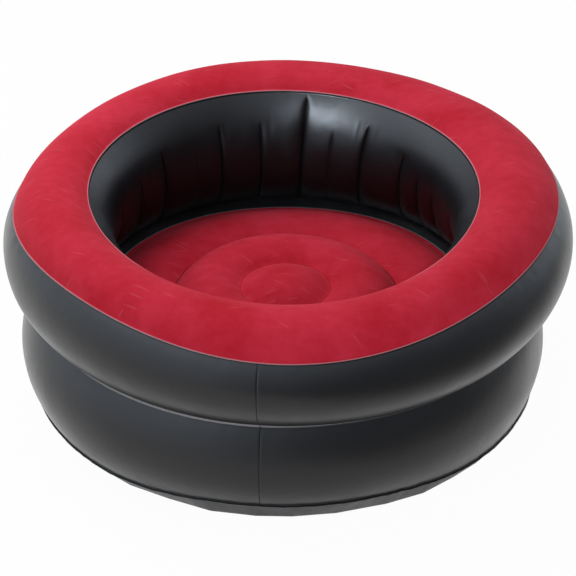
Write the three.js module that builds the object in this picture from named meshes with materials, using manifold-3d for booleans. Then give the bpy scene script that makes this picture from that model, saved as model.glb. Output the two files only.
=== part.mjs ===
// Round inflatable lounge chair: a lower ring with a padded seat, and an upper ring welded on top of it.
// Millimetres, +Z up. The origin is the middle of the flat base, on the floor. The front is -Y, the back +Y.
// Each panel is a closed shell of film. Panels meet at welded fins and laps, a small gap between layers.
import * as THREE from "three";
import { mergeVertices } from "three/addons/utils/BufferGeometryUtils.js";
import Module from "manifold-3d";

const wasm = await Module();
wasm.setup();

// Seam circles of the two air chambers. The seat's radii come first, then the widths between seams.
const innerCreaseRadius = 90;
const outerCreaseRadius = 228;
const seatEdgeRadius = 370;
const wellMargin = 30;
const deckWidth = 90;
const wellLean = 9;
const crownWidth = 143;
const baseSpread = 13;
const baseTurnUp = 36;

// Heights of the seams above the floor.
const innerCreaseHeight = 222;
const outerCreaseHeight = 195;
const seatEdgeHeight = 184;
const wellHeight = 193;
const waistHeight = 230;
const innerRimHeight = 449;
const outerRimHeight = 413;
const baseSeamHeight = 36;

// How far each panel stands out from the straight line between its seams.
const crownBulge = 43;
const upperWallBulge = 49;
const wellWallBulge = 48;
const lowerWallBulge = 27;
const seatRimBulge = 20;
const seatRingBulge = 32;
const seatDomeBulge = 28;

// Film, welds and the gap between the layers of a weld.
const plainFilm = 0.5;
const flockedFilm = 0.8;
const weldGap = 0.3;
const rimFin = 4;
const waistFin = 5;
const baseFin = 8;
const wellLap = 10;
const seatLap = 10;
const creaseWeld = 8;

// The filled upper ring takes a gentle wave: two crests at the sides, and its lowest place at the front.
const sideWave = 12;
const frontWave = 8;
const sideWaveCount = 2;
const frontWaveCount = 3;

// Pleats in the well wall, full in its lower part and gone near the rim.
const pleatCount = 30;
const pleatDepth = 5;
const pleatShares = [0, 0.35, 1, 0.8];

// Air holes in the tie bands.
const ventRadius = 20;
const ventCount = 6;

// Two-part valve, one for each chamber, on the flat place at the back of each outer wall.
const valveFlat = 60;
const valveClearance = 0.3;
const neckBore = 15.5;
const neckWall = 2.7;
const neckDepth = 18;
const neckRise = 3.5;
const flangeRadius = 27;
const flangeThickness = 1.5;
const flangeEdge = 0.8;
const flangeShoulder = 20;
const ringRadius = 22;
const ringThickness = 1.1;
const rimRadius = 21;
const rimThickness = 1.8;
const tubeWall = 3.2;
const tubeDepth = 16;
const ledgeWidth = 1.5;
const ledgeThickness = 1;
const hubRadius = 4;
const hubHeight = 2;
const spokeWidth = 1.6;
const spokeHeight = 1.4;
const spokeCount = 4;
const flapMargin = 1.6;
const flapThickness = 1.2;
const flapTravel = 3;
const stemRadius = 1.9;
const headRadius = 3.2;
const headThickness = 0.8;
const capRadius = 15;
const capThickness = 1.6;
const skirtDepth = 4;
const skirtWall = 2.1;
const skirtClearance = 0.4;
const strapWidth = 10;
const strapThickness = 1.2;
const hingeRadius = 25;
const lugThickness = 2;
const tabWidth = 12;
const tabLength = 5;
const bite = 0.5;

// Number of flats round each piece.
const panelSides = 60;
const seatSides = 36;
const bandSides = 32;
const valveSides = 24;
const ventSides = 8;

// Number of straight steps along each bulge of the section.
const crownStepCount = 4;
const wellStepCount = 4;
const upperAboveStepCount = 2;
const upperBelowStepCount = 2;
const lowerAboveStepCount = 2;
const lowerBelowStepCount = 1;
const seatDomeStepCount = 4;
const seatRingStepCount = 4;
const seatRimStepCount = 3;

// Materials.
const redFlock = () => new THREE.MeshStandardMaterial({ color: 0xb3121d, roughness: 0.95, metalness: 0 });
const blackVinyl = () => new THREE.MeshStandardMaterial({ color: 0x17171b, roughness: 0.38, metalness: 0 });
const greyVinyl = () => new THREE.MeshStandardMaterial({ color: 0x3a3b42, roughness: 0.45, metalness: 0 });
const valvePlastic = () => new THREE.MeshStandardMaterial({ color: 0x222226, roughness: 0.3, metalness: 0 });
const flapRubber = () => new THREE.MeshStandardMaterial({ color: 0xd8d8d2, roughness: 0.5, metalness: 0 });

const fullTurn = 2 * Math.PI;
const at = (radius, height) => new THREE.Vector2(radius, height);
const corner = (x, y, z) => new THREE.Vector3(x, y, z);

// The seam circles as points of the section, radius across and height up.
const seatEdge = at(seatEdgeRadius, seatEdgeHeight);
const well = at(seatEdgeRadius + wellMargin, wellHeight);
const waist = at(well.x + deckWidth, waistHeight);
const innerRim = at(well.x - wellLean, innerRimHeight);
const outerRim = at(innerRim.x + crownWidth, outerRimHeight);
const baseSeam = at(waist.x + baseSpread, baseSeamHeight);
const baseEdge = at(baseSeam.x - baseTurnUp, 0);

// Leaves only welded corner positions and whole triangles.
function weld(geometry) {
  geometry.deleteAttribute("normal");
  geometry.deleteAttribute("uv");
  const merged = mergeVertices(geometry);
  const index = merged.getIndex().array;
  const kept = [];
  for (let i = 0; i < index.length; i += 3) {
    const [a, b, c] = [index[i], index[i + 1], index[i + 2]];
    if (a !== b && b !== c && c !== a) kept.push(a, b, c);
  }
  merged.setIndex(kept);
  return merged;
}

// Turns a closed outline of [radius, height] points, anticlockwise, into a round solid about +Z.
function turned(outline, sides) {
  const points = [...outline, outline[0]].map((point) => point.clone());
  const geometry = new THREE.LatheGeometry(points, sides, Math.PI / sides, fullTurn);
  return weld(geometry.rotateX(Math.PI / 2));
}

function ring(points, sides) {
  return turned(points.map(([radius, height]) => at(radius, height)), sides);
}

function block(low, high) {
  const size = high.clone().sub(low);
  const geometry = new THREE.BoxGeometry(size.x, size.y, size.z);
  const middle = low.clone().add(high).divideScalar(2);
  return weld(geometry.translate(middle.x, middle.y, middle.z));
}

// Solids for joining and cutting.
function toSolid(geometry) {
  const vertProperties = Float32Array.from(geometry.getAttribute("position").array);
  const triVerts = Uint32Array.from(geometry.getIndex().array);
  return new wasm.Manifold(new wasm.Mesh({ numProp: 3, vertProperties, triVerts }));
}

function toGeometry(solid) {
  const mesh = solid.getMesh();
  const geometry = new THREE.BufferGeometry();
  geometry.setAttribute("position", new THREE.BufferAttribute(mesh.vertProperties, mesh.numProp));
  geometry.setIndex([...mesh.triVerts]);
  return geometry;
}

function joined(...geometries) {
  const solids = geometries.map(toSolid);
  return toGeometry(solids.reduce((sum, solid) => sum.add(solid)));
}

function cut(geometry, ...tools) {
  const solids = tools.map(toSolid);
  return toGeometry(solids.reduce((left, tool) => left.subtract(tool), toSolid(geometry)));
}

function named(name, geometry, material) {
  geometry.computeVertexNormals();
  const mesh = new THREE.Mesh(geometry, material);
  mesh.name = name;
  return mesh;
}

// The circle that runs from one seam to the next and stands out by the bulge on its left-hand side.
function bulgeCircle(from, to, bulge) {
  const chord = to.clone().sub(from);
  const half = chord.length() / 2;
  const radius = (half * half + bulge * bulge) / (2 * bulge);
  const outward = at(-chord.y, chord.x).normalize();
  const centre = from.clone().add(to).divideScalar(2).addScaledVector(outward, bulge - radius);
  const start = from.clone().sub(centre).angle();
  const turn = (to.clone().sub(centre).angle() - start - fullTurn) % fullTurn;
  return { centre, radius, start, end: start + turn };
}

function onCircle(circle, angle) {
  return circle.centre.clone().add(at(circle.radius, 0).rotateAround(at(0, 0), angle));
}

function arc(circle, from, to, steps) {
  const points = [];
  for (let i = 0; i <= steps; i += 1) {
    points.push(onCircle(circle, from + ((to - from) * i) / steps));
  }
  return points;
}

function bulged(from, to, bulge, steps) {
  const circle = bulgeCircle(from, to, bulge);
  return arc(circle, circle.start, circle.end, steps);
}

// An outer wall's section: an arc with one flat of the valve's height. The flat is upright at the arc's
// widest place. Where that is nearer to a seam than half a flat, it moves along the arc and leans with it.
function bulgedWithFlat(from, to, bulge, stepsAbove, stepsBelow) {
  const circle = bulgeCircle(from, to, bulge);
  const widest = fullTurn * Math.round(circle.start / fullTurn);
  const half = Math.asin(valveFlat / 2 / circle.radius);
  const lean = THREE.MathUtils.clamp(widest, circle.end + 2 * half, circle.start - 2 * half);
  const above = arc(circle, circle.start, lean + half, stepsAbove);
  const below = arc(circle, lean - half, circle.end, stepsBelow);
  const middle = above[stepsAbove].clone().add(below[0]).divideScalar(2);
  return { points: [...above, ...below], middle, lean };
}

// The point that would follow the end of a line: its mirror image on the axis, or straight on elsewhere.
function beyond(point, inside) {
  return point.x === 0 ? at(-inside.x, inside.y) : point.clone().multiplyScalar(2).sub(inside);
}

// A closed outline of the given thickness about a line of section points, whose left side is the outside.
function thickened(line, thickness) {
  const left = [];
  const right = [];
  line.forEach((point, i) => {
    const before = line[i - 1] ?? beyond(point, line[i + 1]);
    const after = line[i + 1] ?? beyond(point, line[i - 1]);
    const incoming = point.clone().sub(before).normalize();
    const outgoing = after.clone().sub(point).normalize();
    const normal = at(-incoming.y - outgoing.y, incoming.x + outgoing.x).normalize();
    const reach = thickness / 2 / normal.dot(at(-incoming.y, incoming.x));
    left.push(point.clone().addScaledVector(normal, reach));
    right.push(point.clone().addScaledVector(normal, -reach));
  });
  return [...right, ...left.reverse()];
}

function shell(line, thickness, sides) {
  return turned(thickened(line, thickness), sides);
}

// The way a welded fin points: halfway between its two panels, on the outside.
function finDirection(seam, towardOne, towardOther) {
  const one = towardOne.clone().sub(seam).normalize();
  const other = towardOther.clone().sub(seam).normalize();
  const across = one.clone().sub(other).normalize();
  return at(across.y, -across.x);
}

// The root and tip of one layer of a fin, moved sideways off the fin's middle.
function finLayer(seam, direction, length, shift) {
  const sideways = at(-direction.y, direction.x).multiplyScalar(shift);
  const root = seam.clone().add(sideways);
  const tip = root.clone().addScaledVector(direction, length);
  return { root, tip };
}

// Half the distance between the middles of two touching layers.
const layerShift = (one, other) => ((one + other) / 2 + weldGap) / 2;

// The wave of the upper ring: nothing at the waist, full at the rim. The angle is taken from the front.
function waveAt(height, angle) {
  const share = THREE.MathUtils.clamp((height - waistHeight) / (innerRimHeight - waistHeight), 0, 1);
  const sides = sideWave * Math.cos(sideWaveCount * angle);
  const front = frontWave * Math.cos(frontWaveCount * angle);
  return -share * (sides + front);
}

// Folds each four-cornered face along the diagonal whose ends lie farther from the origin, so that both
// layers of a film fold alike.
function foldedAlike(geometry) {
  const position = geometry.getAttribute("position");
  const index = [...geometry.getIndex().array];
  const reach = (i) => new THREE.Vector3().fromBufferAttribute(position, i).lengthSq();
  const folded = [];
  while (index.length) {
    const [a, b, d, c] = index.splice(0, 6);
    const crossed = reach(a) + reach(c) > reach(b) + reach(d);
    folded.push(...(crossed ? [a, b, c, a, c, d] : [a, b, d, c, d, b]));
  }
  geometry.setIndex(folded);
  return geometry;
}

// Moves each corner of a ring panel to the place that the given function returns for it.
function reshaped(geometry, change) {
  const position = geometry.getAttribute("position");
  for (let i = 0; i < position.count; i += 1) {
    const [x, y, z] = [position.getX(i), position.getY(i), position.getZ(i)];
    const radius = Math.hypot(x, y);
    const angle = Math.atan2(x, -y);
    const moved = change(radius, z, angle);
    position.setXYZ(i, moved.x * Math.sin(angle), -moved.x * Math.cos(angle), moved.y);
  }
  return foldedAlike(geometry);
}

const waved = (radius, height, angle) => at(radius, height + waveAt(height, angle));

// Fins where the panels meet.
const rimShift = layerShift(flockedFilm, plainFilm);
const outerRimOut = finDirection(outerRim, innerRim, waist);
const innerRimOut = finDirection(innerRim, well, outerRim);
const outwards = at(1, 0);
const topAtOuterRim = finLayer(outerRim, outerRimOut, rimFin, rimShift);
const wallAtOuterRim = finLayer(outerRim, outerRimOut, rimFin, -rimShift);
const topAtInnerRim = finLayer(innerRim, innerRimOut, rimFin, -rimShift);
const wallAtInnerRim = finLayer(innerRim, innerRimOut, rimFin, rimShift);
const waistPitch = plainFilm + weldGap;
const upperAtWaist = finLayer(waist, outwards, waistFin, waistPitch);
const deckAtWaist = finLayer(waist, outwards, waistFin, 0);
const lowerAtWaist = finLayer(waist, outwards, waistFin, -waistPitch);
const lowerAtBase = finLayer(baseSeam, outwards, baseFin, layerShift(plainFilm, plainFilm));
const sheetAtBase = finLayer(baseSeam, outwards, baseFin, -layerShift(plainFilm, plainFilm));

function topPanel() {
  const crown = bulged(topAtInnerRim.root, topAtOuterRim.root, crownBulge, crownStepCount);
  const line = [topAtInnerRim.tip, ...crown, topAtOuterRim.tip];
  return reshaped(shell(line, flockedFilm, panelSides), waved);
}

const upperSection = bulgedWithFlat(
  wallAtOuterRim.root, upperAtWaist.root, upperWallBulge, upperAboveStepCount, upperBelowStepCount,
);
const lowerSection = bulgedWithFlat(
  lowerAtWaist.root, lowerAtBase.root, lowerWallBulge, lowerAboveStepCount, lowerBelowStepCount,
);

function upperOuterWall() {
  const line = [wallAtOuterRim.tip, ...upperSection.points, upperAtWaist.tip];
  return reshaped(shell(line, plainFilm, panelSides), waved);
}

function lowerOuterWall() {
  return shell([lowerAtWaist.tip, ...lowerSection.points, lowerAtBase.tip], plainFilm, panelSides);
}

// The well wall stands on the deck with a lap turned outwards, and is pleated between the lap and the rim.
const deckSlope = waist.clone().sub(well).normalize();
const deckUp = at(-deckSlope.y, deckSlope.x);
const wellFoot = well.clone().addScaledVector(deckUp, plainFilm + weldGap);
const wellArc = bulged(wellFoot, wallAtInnerRim.root, wellWallBulge, wellStepCount);

function innerWall() {
  const lapTip = wellFoot.clone().addScaledVector(deckSlope, wellLap);
  const line = [lapTip, ...wellArc, wallAtInnerRim.tip];
  const heights = wellArc.map((point) => point.y).reverse();
  const geometry = shell(line, plainFilm, panelSides);
  return reshaped(geometry, (radius, height, angle) => {
    const place = heights.findIndex((value) => Math.abs(value - height) < plainFilm);
    const pleat = (pleatShares[place] ?? 0) * pleatDepth * Math.sin(pleatCount * angle);
    return waved(radius + pleat, height, angle);
  });
}

function deckPanel() {
  const seatLapTip = seatEdge.clone().sub(at(seatLap, 0));
  const line = [seatLapTip, seatEdge, well, deckAtWaist.root, deckAtWaist.tip];
  return shell(line, plainFilm, panelSides);
}

// The seat: a middle dome and two rings, with a flat weld in each crease and a lap on the deck.
function seatPanel() {
  const innerSide = at(innerCreaseRadius - creaseWeld / 2, innerCreaseHeight);
  const outerSide = at(innerCreaseRadius + creaseWeld / 2, innerCreaseHeight);
  const ringEnd = at(outerCreaseRadius - creaseWeld / 2, outerCreaseHeight);
  const rimStart = at(outerCreaseRadius + creaseWeld / 2, outerCreaseHeight);
  const lapHeight = seatEdgeHeight + (flockedFilm + plainFilm) / 2 + weldGap;
  const rimEnd = at(seatEdgeRadius - seatLap, lapHeight);
  const middle = at(0, innerCreaseHeight + seatDomeBulge);
  const dome = bulged(at(-innerSide.x, innerSide.y), innerSide, seatDomeBulge, seatDomeStepCount);
  const rightHalf = dome.slice(seatDomeStepCount / 2 + 1);
  const middleRing = bulged(outerSide, ringEnd, seatRingBulge, seatRingStepCount);
  const outerRing = bulged(rimStart, rimEnd, seatRimBulge, seatRimStepCount);
  const line = [middle, ...rightHalf, ...middleRing, ...outerRing, at(seatEdgeRadius, lapHeight)];
  return shell(line, flockedFilm, seatSides);
}

function baseSheet() {
  const floor = plainFilm / 2;
  const line = [sheetAtBase.tip, sheetAtBase.root, at(baseEdge.x, floor), at(0, floor)];
  return shell(line, plainFilm, panelSides);
}

// A tie band: an upright ring of film with a flange welded under a seat crease and one welded to the base.
function tieBand(creaseRadius, creaseHeight) {
  const radius = creaseRadius - creaseWeld / 2;
  const top = creaseHeight - (flockedFilm + plainFilm) / 2 - weldGap;
  const foot = plainFilm + weldGap + plainFilm / 2;
  const tip = radius + creaseWeld;
  const line = [at(tip, top), at(radius, top), at(radius, foot), at(tip, foot)];
  const band = shell(line, plainFilm, bandSides);
  const vents = [];
  for (let i = 0; i < ventCount; i += 1) {
    const vent = new THREE.CylinderGeometry(ventRadius, ventRadius, creaseWeld, ventSides);
    vent.translate(0, radius, 0);
    vent.rotateZ((fullTurn * i) / ventCount);
    vent.translate(0, 0, (top + foot) / 2);
    vents.push(weld(vent));
  }
  return cut(band, ...vents);
}

// Valve places along its own axis, outwards from the wall.
const neckOuter = neckBore + neckWall;
const tubeOuter = neckBore - valveClearance;
const tubeBore = tubeOuter - tubeWall;
const ringFoot = neckRise + valveClearance;
const ringTop = ringFoot + ringThickness;
const rimFoot = ringTop + valveClearance;
const rimTop = rimFoot + rimThickness;
const capFoot = rimTop + valveClearance;
const capTop = capFoot + capThickness;
const strapTop = capFoot + strapThickness;

function valveBase() {
  return ring([
    [neckBore, -neckDepth],
    [neckOuter, -neckDepth],
    [neckOuter, valveClearance],
    [flangeRadius, valveClearance],
    [flangeRadius, valveClearance + flangeEdge],
    [flangeShoulder, valveClearance + flangeThickness],
    [neckOuter, neckRise],
    [neckBore, neckRise],
  ], valveSides);
}

// The ring that carries the cap's strap, with a lug up to the hinge line.
function strapRing() {
  const half = strapWidth / 2;
  const loop = ring([
    [neckBore, ringFoot],
    [ringRadius, ringFoot],
    [ringRadius, ringTop],
    [neckBore, ringTop],
  ], valveSides);
  const lugInner = hingeRadius + valveClearance;
  const lugOuter = lugInner + lugThickness;
  const foot = block(corner(-half, -lugOuter, ringFoot), corner(half, bite - ringRadius, ringTop));
  const lug = block(corner(-half, -lugOuter, ringFoot), corner(half, -lugInner, strapTop));
  return joined(loop, foot, lug);
}

// The large plug, with the seat and spider of the one-way flap at its inner end.
function plug() {
  const ledgeBore = tubeBore - ledgeWidth;
  const body = ring([
    [ledgeBore, -tubeDepth],
    [tubeOuter, -tubeDepth],
    [tubeOuter, rimFoot],
    [rimRadius, rimFoot],
    [rimRadius, rimTop],
    [tubeBore, rimTop],
    [tubeBore, ledgeThickness - tubeDepth],
    [ledgeBore, ledgeThickness - tubeDepth],
  ], valveSides);
  const bore = stemRadius + valveClearance;
  const hub = ring([
    [bore, -tubeDepth],
    [hubRadius, -tubeDepth],
    [hubRadius, hubHeight - tubeDepth],
    [bore, hubHeight - tubeDepth],
  ], valveSides);
  const spokes = [];
  for (let i = 0; i < spokeCount; i += 1) {
    const low = corner(hubRadius - bite, -spokeWidth / 2, -tubeDepth);
    const high = corner(tubeBore + bite, spokeWidth / 2, spokeHeight - tubeDepth);
    spokes.push(block(low, high).rotateZ((fullTurn * i) / spokeCount));
  }
  return joined(body, hub, ...spokes);
}

// The one-way flap: a disc under the seat, with a stem through the spider's hub and a head that holds it.
function checkFlap() {
  const disc = -tubeDepth - valveClearance;
  const head = hubHeight - tubeDepth + flapTravel + valveClearance;
  return ring([
    [0, disc - flapThickness],
    [tubeOuter - flapMargin, disc - flapThickness],
    [tubeOuter - flapMargin, disc],
    [stemRadius, disc],
    [stemRadius, head],
    [headRadius, head],
    [headRadius, head + headThickness],
    [0, head + headThickness],
  ], valveSides);
}

function cap() {
  const skirtOuter = tubeBore - skirtClearance;
  const skirtInner = skirtOuter - skirtWall;
  const lid = ring([
    [0, capFoot],
    [skirtInner, capFoot],
    [skirtInner, capFoot - skirtDepth],
    [skirtOuter, capFoot - skirtDepth],
    [skirtOuter, capFoot],
    [capRadius, capFoot],
    [capRadius, capTop],
    [0, capTop],
  ], valveSides);
  const half = strapWidth / 2;
  const inner = capRadius - capThickness;
  const strap = block(corner(-half, -hingeRadius, capFoot), corner(half, -inner, strapTop));
  const tabHalf = tabWidth / 2;
  const tabEnd = capRadius + tabLength;
  const tab = block(corner(-tabHalf, inner, capFoot), corner(tabHalf, tabEnd, capTop));
  return joined(lid, strap, tab);
}

// A whole valve on the back of a wall. Its own +Z points out of the wall, and its strap is uppermost.
function valve(prefix, section, lift) {
  const group = new THREE.Group();
  group.add(named(`${prefix}_valve_base`, valveBase(), valvePlastic()));
  group.add(named(`${prefix}_strap_ring`, strapRing(), valvePlastic()));
  group.add(named(`${prefix}_plug`, plug(), valvePlastic()));
  group.add(named(`${prefix}_check_flap`, checkFlap(), flapRubber()));
  group.add(named(`${prefix}_cap`, cap(), valvePlastic()));
  const seat = valveSeat(section, lift);
  group.rotation.x = section.lean - Math.PI / 2;
  group.position.set(0, seat.x, seat.y);
  return group;
}

// The outer face of the wall's flat at the back, which is the middle of one of its sides.
function valveSeat(section, lift) {
  const outer = at(plainFilm / 2, 0).rotateAround(at(0, 0), section.lean).add(section.middle);
  return at(outer.x * Math.cos(Math.PI / panelSides), outer.y + lift);
}

// The wall with the round hole that the valve's neck passes through.
function holed(wall, section, lift) {
  const radius = neckOuter + valveClearance;
  const hole = new THREE.CylinderGeometry(radius, radius, valveFlat, valveSides);
  const seat = valveSeat(section, lift);
  hole.rotateX(section.lean);
  hole.translate(0, seat.x, seat.y);
  return cut(wall, weld(hole));
}

const upperLift = waveAt(upperSection.middle.y, Math.PI);

const chair = new THREE.Group();
chair.add(named("top_panel", topPanel(), redFlock()));
chair.add(named("upper_outer_wall", holed(upperOuterWall(), upperSection, upperLift), blackVinyl()));
chair.add(named("inner_wall", innerWall(), blackVinyl()));
chair.add(named("deck_panel", deckPanel(), blackVinyl()));
chair.add(named("seat_panel", seatPanel(), redFlock()));
chair.add(named("lower_outer_wall", holed(lowerOuterWall(), lowerSection, 0), blackVinyl()));
chair.add(named("base_sheet", baseSheet(), greyVinyl()));
chair.add(named("outer_tie_band", tieBand(outerCreaseRadius, outerCreaseHeight), blackVinyl()));
chair.add(named("inner_tie_band", tieBand(innerCreaseRadius, innerCreaseHeight), blackVinyl()));
chair.add(valve("upper", upperSection, upperLift));
chair.add(valve("lower", lowerSection, 0));

export default chair;
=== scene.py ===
# %% [markdown]
# A round inflatable lounge chair. Two rings of film are welded on top of each other: the lower one carries
# a flocked seat, the upper one is the backrest all round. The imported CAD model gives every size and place.
# Here each panel of film gets its fine filled shape, its welds, folds and finish.

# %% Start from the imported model
from functools import cache
from math import asin, atan, atan2, copysign, cos, exp, hypot, pi, radians, sin

import bmesh
import bpy
from mathutils import Matrix, Vector, noise


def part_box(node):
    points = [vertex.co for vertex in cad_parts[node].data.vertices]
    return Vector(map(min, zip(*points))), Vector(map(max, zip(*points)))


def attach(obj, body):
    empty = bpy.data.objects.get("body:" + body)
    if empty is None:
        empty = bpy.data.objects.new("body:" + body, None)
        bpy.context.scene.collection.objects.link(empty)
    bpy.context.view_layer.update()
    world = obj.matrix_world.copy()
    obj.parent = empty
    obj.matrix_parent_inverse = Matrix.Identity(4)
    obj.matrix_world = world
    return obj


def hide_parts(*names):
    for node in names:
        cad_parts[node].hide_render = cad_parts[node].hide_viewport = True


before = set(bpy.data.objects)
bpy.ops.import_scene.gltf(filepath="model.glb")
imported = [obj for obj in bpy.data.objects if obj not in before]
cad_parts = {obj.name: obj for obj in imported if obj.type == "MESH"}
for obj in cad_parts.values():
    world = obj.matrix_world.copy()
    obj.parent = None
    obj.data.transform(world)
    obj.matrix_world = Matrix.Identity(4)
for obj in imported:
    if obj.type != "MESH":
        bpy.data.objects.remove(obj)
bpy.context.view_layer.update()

# %% [markdown]
# The photograph was taken from well away with a long lens, from the front, above and a little to the right.
# A camera is aimed by turning its own -Z at a point. The lens follows from how large the chair appears.

# %% Camera
PHOTO_SIDE = 576
PIXELS_PER_METRE = 500
MIDDLE_PIXEL = (285.4, 285.7)
CHAIR_MIDDLE = Vector((0, 0, 0.225))
CAMERA_TURN = radians(5.4)
CAMERA_RISE = radians(32.4)
CAMERA_DISTANCE = 6.5
SENSOR_WIDTH = 36


def new_object(name, data):
    """An object in the scene, at the origin and unturned."""
    made = bpy.data.objects.new(name, data)
    bpy.context.scene.collection.objects.link(made)
    return made


camera_data = bpy.data.cameras.new("camera")
camera = new_object("camera", camera_data)
bpy.context.scene.camera = camera
camera_data.sensor_width = SENSOR_WIDTH
camera_data.lens = SENSOR_WIDTH * PIXELS_PER_METRE * CAMERA_DISTANCE / PHOTO_SIDE
camera_data.clip_end = 4 * CAMERA_DISTANCE
towards_camera = Vector((
    sin(CAMERA_TURN) * cos(CAMERA_RISE),
    -cos(CAMERA_TURN) * cos(CAMERA_RISE),
    sin(CAMERA_RISE),
))
camera_turn = towards_camera.to_track_quat("Z", "Y").to_matrix().to_4x4()
right, upwards = camera_turn.col[0].xyz, camera_turn.col[1].xyz
aside = (PHOTO_SIDE / 2 - MIDDLE_PIXEL[0]) / PIXELS_PER_METRE
below = (PHOTO_SIDE / 2 - MIDDLE_PIXEL[1]) / PIXELS_PER_METRE
aim = CHAIR_MIDDLE + aside * right - below * upwards
camera.matrix_world = Matrix.Translation(aim + CAMERA_DISTANCE * towards_camera) @ camera_turn
print("lens", round(camera_data.lens, 1), "mm")

# %% [markdown]
# A section of the chair is half of it cut down the middle: each panel is then a line, and the seams are points.
# Places are (radius, height) in metres. They are the seam circles of the CAD model, with the same bulges, which
# say how far a filled panel stands out from the straight line between its seams.

# %% Seams and film
RIM_OUT = Vector((0.534, 0.413))
RIM_IN = Vector((0.391, 0.449))
WAIST = Vector((0.490, 0.230))
WELL = Vector((0.400, 0.193))
SEAT_EDGE = Vector((0.370, 0.184))
OUTER_CREASE = Vector((0.228, 0.195))
INNER_CREASE = Vector((0.090, 0.222))
BASE_SEAM = Vector((0.503, 0.036))
BASE_RADIUS = 0.467

CROWN_BULGE = 0.043
UPPER_BULGE = 0.049
WELL_BULGE = 0.048
LOWER_BULGE = 0.027
SEAT_RIM_BULGE = 0.020
SEAT_RING_BULGE = 0.032
SEAT_DOME_BULGE = 0.028

PLAIN_FILM = 0.0005
FLOCKED_FILM = 0.0008
WELD_PITCH = 0.0010
RIM_FIN = 0.0025
WAIST_FIN = 0.009
BASE_FIN = 0.004
FIN_DROOP = -12
LAP = 0.010
COLUMNS = 720
FULL_TURN = 2 * pi
COLUMN = FULL_TURN / COLUMNS
PATCHES = 12

# %% [markdown]
# The photographed chair isn't a perfect ring: film stretches and creeps, so both rims lean and wave a little,
# each in its own way. Such a slow change round a ring is a sum of a few cosines and sines of whole multiples of
# the angle, written here in millimetres as (multiple, cosine, sine). It fades to nothing at the waist and at
# the seat, where the chair is held in shape. The upper wall swells a little more on one side and the lower wall
# on the other, the bottom seam lifts at the front, and the seat's edge is drawn out at four places.

# %% How the filled chair leans and waves
MILLIMETRE = 0.001
INNER_RISE = ((1, -9, -1), (2, -5, 1), (3, -2, -1))
INNER_SPREAD = ((1, 3, -2), (2, 5, 1), (3, 1, 1))
OUTER_RISE = ((1, -3, 5), (2, -5, -3), (3, -6, -4), (4, -2, 2))
OUTER_SPREAD = ((0, -1, 0), (1, -5, 3), (2, 2, -2), (3, 5, 2), (4, 4, 2))
UPPER_LEAN = 0.005
LOWER_SHIFT = 0.006
LOWER_MIDDLE = 0.120
SEAT_CORNERS = 0.0035
SIDE_TUCK = 0.003
SEAM_LIFT = 0.013
LIFT_MIDDLE = radians(4)
LIFT_REACH = (radians(15), radians(45))
WAVE_FOOT = 0.220
HELD_RADIUS = 0.300
FREE_RADIUS = 0.335


def share(value, low, high):
    """How far a value has come from low to high, from 0 to 1."""
    return min(1.0, max(0.0, (value - low) / (high - low)))


def ease(value, low, high):
    """The same with a soft start and a soft end."""
    part = share(value, low, high)
    return part * part * (3 - 2 * part)


def difference(angle, other):
    """The signed angle from one direction to another, from -180 to 180 degrees."""
    return (angle - other + pi) % FULL_TURN - pi


@cache
def round_sum(angle, terms):
    return MILLIMETRE * sum(a * cos(n * angle) + b * sin(n * angle) for n, a, b in terms)


@cache
def seam_lift(angle):
    """How far the bottom seam is lifted in this direction."""
    return SEAM_LIFT * (1 - ease(abs(difference(angle, LIFT_MIDDLE)), *LIFT_REACH))


def settled(radius, height, angle):
    """The place in the room of a point of the perfect ring. The angle is taken from the front, -Y."""
    seen = angle - CAMERA_TURN
    across = share(radius, RIM_IN.x, RIM_OUT.x)
    raised = ease(radius, HELD_RADIUS, FREE_RADIUS) * share(height, WAVE_FOOT, RIM_OUT.y)
    if raised:
        spread = (1 - across) * round_sum(seen, INNER_SPREAD) + across * round_sum(seen, OUTER_SPREAD)
        rise = (1 - across) * round_sum(seen, INNER_RISE) + across * round_sum(seen, OUTER_RISE)
        radius += raised * spread
        height += raised * rise
    elif radius > WELL.x:
        low = share(height, 0, BASE_SEAM.y)
        radius -= LOWER_SHIFT * sin(seen) * sin(pi * share(height, BASE_SEAM.y, WAVE_FOOT))
        tuck = SIDE_TUCK * sin(seen) * (1 + sin(seen))
        radius -= tuck * low * (1 - ease(height, BASE_SEAM.y, LOWER_MIDDLE))
        height += seam_lift(seen) * low * (1 - share(height, BASE_SEAM.y, LOWER_MIDDLE))
    else:
        drawn = ease(radius, OUTER_CREASE.x, SEAT_EDGE.x) * (1 - ease(radius, SEAT_EDGE.x, WELL.x))
        radius += SEAT_CORNERS * drawn * (1 - ease(height, SEAT_EDGE.y, WAVE_FOOT)) * (1 - cos(4 * seen))
    return Vector((radius * sin(angle), -radius * cos(angle), height))


print("rim rises", [round(1000 * settled(0.391, 0.449, radians(a)).z) for a in range(0, 360, 45)])

# %% [markdown]
# A panel starts as one vertex. Straight runs extrude it, and filled runs spin it about the middle of the circle
# that passes through both seams. The finished line then spins once round the chair. A number on each vertex
# remembers how far along the line it lies, for the folds.

# %% Drawing a section


def start_line(place):
    bm = bmesh.new()
    bm.verts.new((place.x, 0, place.y))
    return bm


def last_vert(bm):
    bm.verts.ensure_lookup_table()
    return bm.verts[-1]


def straight(bm, place, steps):
    start = last_vert(bm).co.copy()
    goal = Vector((place.x, 0, place.y))
    for i in range(steps):
        bmesh.ops.extrude_vert_indiv(bm, verts=[last_vert(bm)])
        last_vert(bm).co = start.lerp(goal, (i + 1) / steps)


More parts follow.
